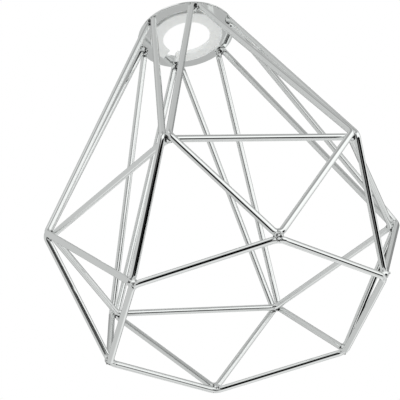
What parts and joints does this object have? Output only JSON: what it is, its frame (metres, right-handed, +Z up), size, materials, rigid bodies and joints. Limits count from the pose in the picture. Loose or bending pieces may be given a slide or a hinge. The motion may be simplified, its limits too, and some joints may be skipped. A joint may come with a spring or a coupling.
{
  "type": "wire lampshade",
  "caption": "Open faceted cage lampshade of bent chromed wire, welded to hexagon rings and a flat fitter plate that holds a split plastic reducer ring.",
  "frame": {"origin": "centre of the reducer ring's small bore, on the ring's underside, where the lamp holder's nut bears", "axes": "+Z up, the way the lamp holder leaves; +X towards one of the cage's waist corners"},
  "size_m": [0.2006, 0.1764, 0.2025],
  "materials": {
    "chromed_wire": "bright chrome on drawn round wire",
    "chromed_plate": "bright chrome on flat pressed sheet",
    "weld_metal": "uneven weld beads under the same chrome",
    "white_plastic": "moulded plastic, soft gloss"
  },
  "bodies": {
    "root": {"wire_loop_1": "chromed_wire", "wire_loop_2": "chromed_wire", "wire_loop_3": "chromed_wire", "wire_loop_4": "chromed_wire", "wire_loop_5": "chromed_wire", "wire_loop_6": "chromed_wire", "waist_ring": "chromed_wire", "mouth_ring": "chromed_wire", "fitter_plate": "chromed_plate", "reducer_ring": "white_plastic", "waist_welds": "weld_metal", "mouth_welds": "weld_metal", "collar_welds": "weld_metal"}
  },
  "joints": []
}
